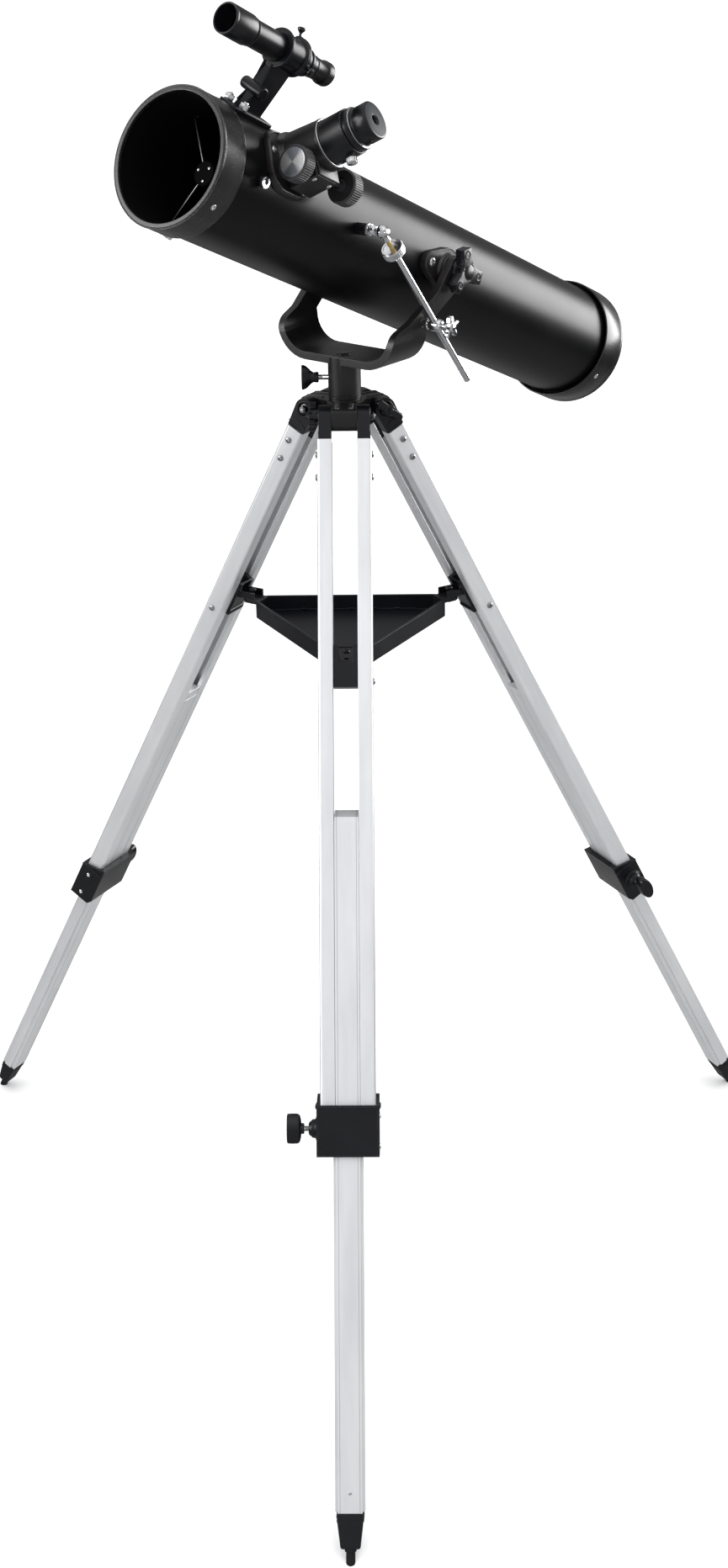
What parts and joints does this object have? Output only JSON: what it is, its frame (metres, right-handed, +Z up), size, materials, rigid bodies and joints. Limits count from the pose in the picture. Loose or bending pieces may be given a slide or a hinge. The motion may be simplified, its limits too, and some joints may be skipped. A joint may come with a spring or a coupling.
{
  "type": "alt-azimuth telescope mount",
  "caption": "Fork alt-azimuth mount on a folding aluminium tripod with an accessory tray, carrying a small reflector tube with focuser, finder and a slow-motion rod.",
  "frame": {"origin": "middle of the object's bounding box in plan, at floor level", "axes": "+Z up; the front leg points to -Y; +X is to the right when looking from the front"},
  "size_m": [0.8888, 0.8552, 1.267],
  "materials": {
    "leg_metal": "satin",
    "foot_plastic": "matt",
    "moulding": "satin",
    "casting": "textured",
    "tube_enamel": "gloss",
    "plated": "polished",
    "bolt_steel": "brushed",
    "mirror_glass": "polished"
  },
  "bodies": {
    "stand_head": {"hub": "casting", "azimuth_bolt": "bolt_steel"},
    "tray": {"accessory_tray": "moulding"},
    "fork": {"fork_yoke": "casting"},
    "azimuth_lock": {"azimuth_lock_knob": "moulding"},
    "telescope": {"main_tube": "tube_enamel", "front_ring": "casting", "rear_cell": "casting", "primary_mirror": "mirror_glass", "spider": "moulding", "secondary_mirror": "moulding", "trunnion_near": "casting", "trunnion_far": "casting", "focuser_body": "casting", "finder_bracket": "moulding", "finder_tube": "moulding", "slow_motion_stud": "moulding"},
    "altitude_knob_near": {"altitude_knob_near": "moulding"},
    "altitude_knob_far": {"altitude_knob_far": "moulding"},
    "drawtube": {"focuser_drawtube": "moulding"},
    "focus_knobs": {"focus_knobs": "moulding"},
    "eyepiece": {"eyepiece": "moulding"},
    "eyepiece_screw": {"eyepiece_screw": "plated"},
    "finder_screw_1": {"finder_screw_1": "plated"},
    "finder_screw_2": {"finder_screw_2": "plated"},
    "rod_clamp": {"rod_clamp": "plated"},
    "adjuster_rod": {"slow_motion_rod": "plated", "slow_motion_swivel": "plated"},
    "adjuster_nut": {"slow_motion_nut": "plated"},
    "clamp_screw": {"clamp_screw": "plated"},
    "leg_1": {"leg_1_channel_a": "leg_metal", "leg_1_channel_b": "leg_metal", "leg_1_cheek_a": "moulding", "leg_1_cheek_b": "moulding", "leg_1_collar": "moulding", "leg_1_tray_bracket": "moulding"},
    "leg_1_inner": {"leg_1_inner": "leg_metal", "leg_1_foot": "foot_plastic"},
    "leg_1_bolt": {"leg_1_hinge_bolt": "moulding"},
    "leg_1_lock": {"leg_1_lock_knob": "moulding"},
    "leg_2": {"leg_2_channel_a": "leg_metal", "leg_2_channel_b": "leg_metal", "leg_2_cheek_a": "moulding", "leg_2_cheek_b": "moulding", "leg_2_collar": "moulding", "leg_2_tray_bracket": "moulding"},
    "leg_2_inner": {"leg_2_inner": "leg_metal", "leg_2_foot": "foot_plastic"},
    "leg_2_bolt": {"leg_2_hinge_bolt": "moulding"},
    "leg_2_lock": {"leg_2_lock_knob": "moulding"},
    "leg_3": {"leg_3_channel_a": "leg_metal", "leg_3_channel_b": "leg_metal", "leg_3_cheek_a": "moulding", "leg_3_cheek_b": "moulding", "leg_3_collar": "moulding", "leg_3_tray_bracket": "moulding"},
    "leg_3_inner": {"leg_3_inner": "leg_metal", "leg_3_foot": "foot_plastic"},
    "leg_3_bolt": {"leg_3_hinge_bolt": "moulding"},
    "leg_3_lock": {"leg_3_lock_knob": "moulding"}
  },
  "joints": [
    {"name": "leg_1_spread", "type": "hinge", "parent": "stand_head", "child": "leg_1", "pos_m": [0, 0.0547, 0.90147], "axis": [1, 0, 0], "range_deg": [0, 18]},
    {"name": "leg_1_extend", "type": "slide", "parent": "leg_1", "child": "leg_1_inner", "axis": [0, -0.4687, -0.8834], "range_m": [-0.1, 0.2]},
    {"name": "leg_1_bolt_turn", "type": "hinge", "parent": "stand_head", "child": "leg_1_bolt", "pos_m": [0, 0.0547, 0.90147], "axis": [-1, 0, 0], "continuous": true},
    {"name": "leg_1_lock_turn", "type": "hinge", "parent": "leg_1", "child": "leg_1_lock", "pos_m": [-0.0247, -0.24536, 0.33594], "axis": [-1, 0, 0], "range_deg": [0, 540]},
    {"name": "leg_2_spread", "type": "hinge", "parent": "stand_head", "child": "leg_2", "pos_m": [-0.02563, 0.0991, 0.90147], "axis": [-0.5, -0.866, 0], "range_deg": [0, 18]},
    {"name": "leg_2_extend", "type": "slide", "parent": "leg_2", "child": "leg_2_inner", "axis": [-0.4059, 0.2343, -0.8834], "range_m": [-0.1, 0.2]},
    {"name": "leg_2_bolt_turn", "type": "hinge", "parent": "stand_head", "child": "leg_2_bolt", "pos_m": [-0.02563, 0.0991, 0.90147], "axis": [0.5, 0.866, 0], "continuous": true},
    {"name": "leg_2_lock_turn", "type": "hinge", "parent": "leg_2", "child": "leg_2_lock", "pos_m": [-0.27315, 0.27052, 0.33594], "axis": [0.5, 0.866, 0], "range_deg": [0, 540]},
    {"name": "leg_3_spread", "type": "hinge", "parent": "stand_head", "child": "leg_3", "pos_m": [0.02563, 0.0991, 0.90147], "axis": [-0.5, 0.866, 0], "range_deg": [0, 18]},
    {"name": "leg_3_extend", "type": "slide", "parent": "leg_3", "child": "leg_3_inner", "axis": [0.4059, 0.2343, -0.8834], "range_m": [-0.1, 0.2]},
    {"name": "leg_3_bolt_turn", "type": "hinge", "parent": "stand_head", "child": "leg_3_bolt", "pos_m": [0.02563, 0.0991, 0.90147], "axis": [0.5, -0.866, 0], "continuous": true},
    {"name": "leg_3_lock_turn", "type": "hinge", "parent": "leg_3", "child": "leg_3_lock", "pos_m": [0.29785, 0.22774, 0.33594], "axis": [0.5, -0.866, 0], "range_deg": [0, 540]},
    {"name": "tray_lower", "type": "slide", "parent": "stand_head", "child": "tray", "axis": [0, 0, -1], "range_m": [0, 0.4]},
    {"name": "azimuth", "type": "hinge", "parent": "stand_head", "child": "fork", "pos_m": [0, 0.0843, 0.9445], "axis": [0, 0, 1], "continuous": true},
    {"name": "azimuth_lock_turn", "type": "hinge", "parent": "fork", "child": "azimuth_lock", "pos_m": [-0.03, 0.0843, 0.93], "axis": [-1, 0, 0], "range_deg": [0, 540]},
    {"name": "altitude", "type": "hinge", "parent": "fork", "child": "telescope", "pos_m": [0.04555, 0.14388, 1.0212], "axis": [-0.7944, 0.6074, 0], "range_deg": [-17, 42]},
    {"name": "altitude_knob_near_turn", "type": "hinge", "parent": "telescope", "child": "altitude_knob_near", "pos_m": [0.10911, 0.09529, 1.0212], "axis": [0.7944, -0.6074, 0], "range_deg": [0, 540]},
    {"name": "altitude_knob_far_turn", "type": "hinge", "parent": "telescope", "child": "altitude_knob_far", "pos_m": [-0.018, 0.19247, 1.0212], "axis": [-0.7944, 0.6074, 0], "range_deg": [0, 540]},
    {"name": "focus_knob_turn", "type": "hinge", "parent": "telescope", "child": "focus_knobs", "pos_m": [-0.01193, -0.06065, 1.13139], "axis": [0.5542, 0.7248, -0.4093], "range_deg": [0, 430]},
    {"name": "focus_travel", "type": "slide", "parent": "telescope", "child": "drawtube", "axis": [0.8138, -0.3685, 0.4493], "range_m": [0, 0.0302]},
    {"name": "eyepiece_pull", "type": "slide", "parent": "drawtube", "child": "eyepiece", "axis": [0.8138, -0.3685, 0.4493], "range_m": [0, 0.03]},
    {"name": "eyepiece_screw_turn", "type": "hinge", "parent": "drawtube", "child": "eyepiece_screw", "pos_m": [0.01377, -0.07153, 1.14691], "axis": [0.1748, -0.5821, -0.7941], "range_deg": [0, 540]},
    {"name": "finder_screw_1_turn", "type": "hinge", "parent": "telescope", "child": "finder_screw_1", "pos_m": [-0.02608, -0.02388, 1.23746], "axis": [0.2486, 0.3251, 0.9124], "range_deg": [0, 540]},
    {"name": "finder_screw_2_turn", "type": "hinge", "parent": "telescope", "child": "finder_screw_2", "pos_m": [-0.01977, -0.04415, 1.21009], "axis": [0.5637, -0.6886, -0.4562], "range_deg": [0, 540]},
    {"name": "rod_clamp_swing", "type": "hinge", "parent": "fork", "child": "rod_clamp", "pos_m": [0.08312, 0.05801, 0.9823], "axis": [-0.7944, 0.6074, 0], "range_deg": [-16, 38]},
    {"name": "rod_travel", "type": "slide", "parent": "rod_clamp", "child": "adjuster_rod", "axis": [-0.3825, -0.5003, 0.7768], "range_m": [-0.018, 0.042]},
    {"name": "adjuster_nut_turn", "type": "hinge", "parent": "adjuster_rod", "child": "adjuster_nut", "pos_m": [0.0487, 0.01299, 1.05221], "axis": [-0.3825, -0.5003, 0.7768], "continuous": true},
    {"name": "clamp_screw_turn", "type": "hinge", "parent": "rod_clamp", "child": "clamp_screw", "pos_m": [0.09265, 0.05072, 0.9823], "axis": [0.7944, -0.6074, 0], "range_deg": [0, 540]}
  ],
  "couplings": [
    {"joint": "leg_2_spread", "follows": "leg_1_spread", "ratio": 1},
    {"joint": "leg_3_spread", "follows": "leg_1_spread", "ratio": 1},
    {"joint": "tray_lower", "follows": "leg_1_spread", "m_per_rad": 1.19},
    {"joint": "focus_travel", "follows": "focus_knob_turn", "m_per_rad": 0.004},
    {"joint": "rod_clamp_swing", "follows": "altitude", "ratio": 0.89},
    {"joint": "rod_travel", "follows": "altitude", "m_per_rad": 0.0565}
  ]
}
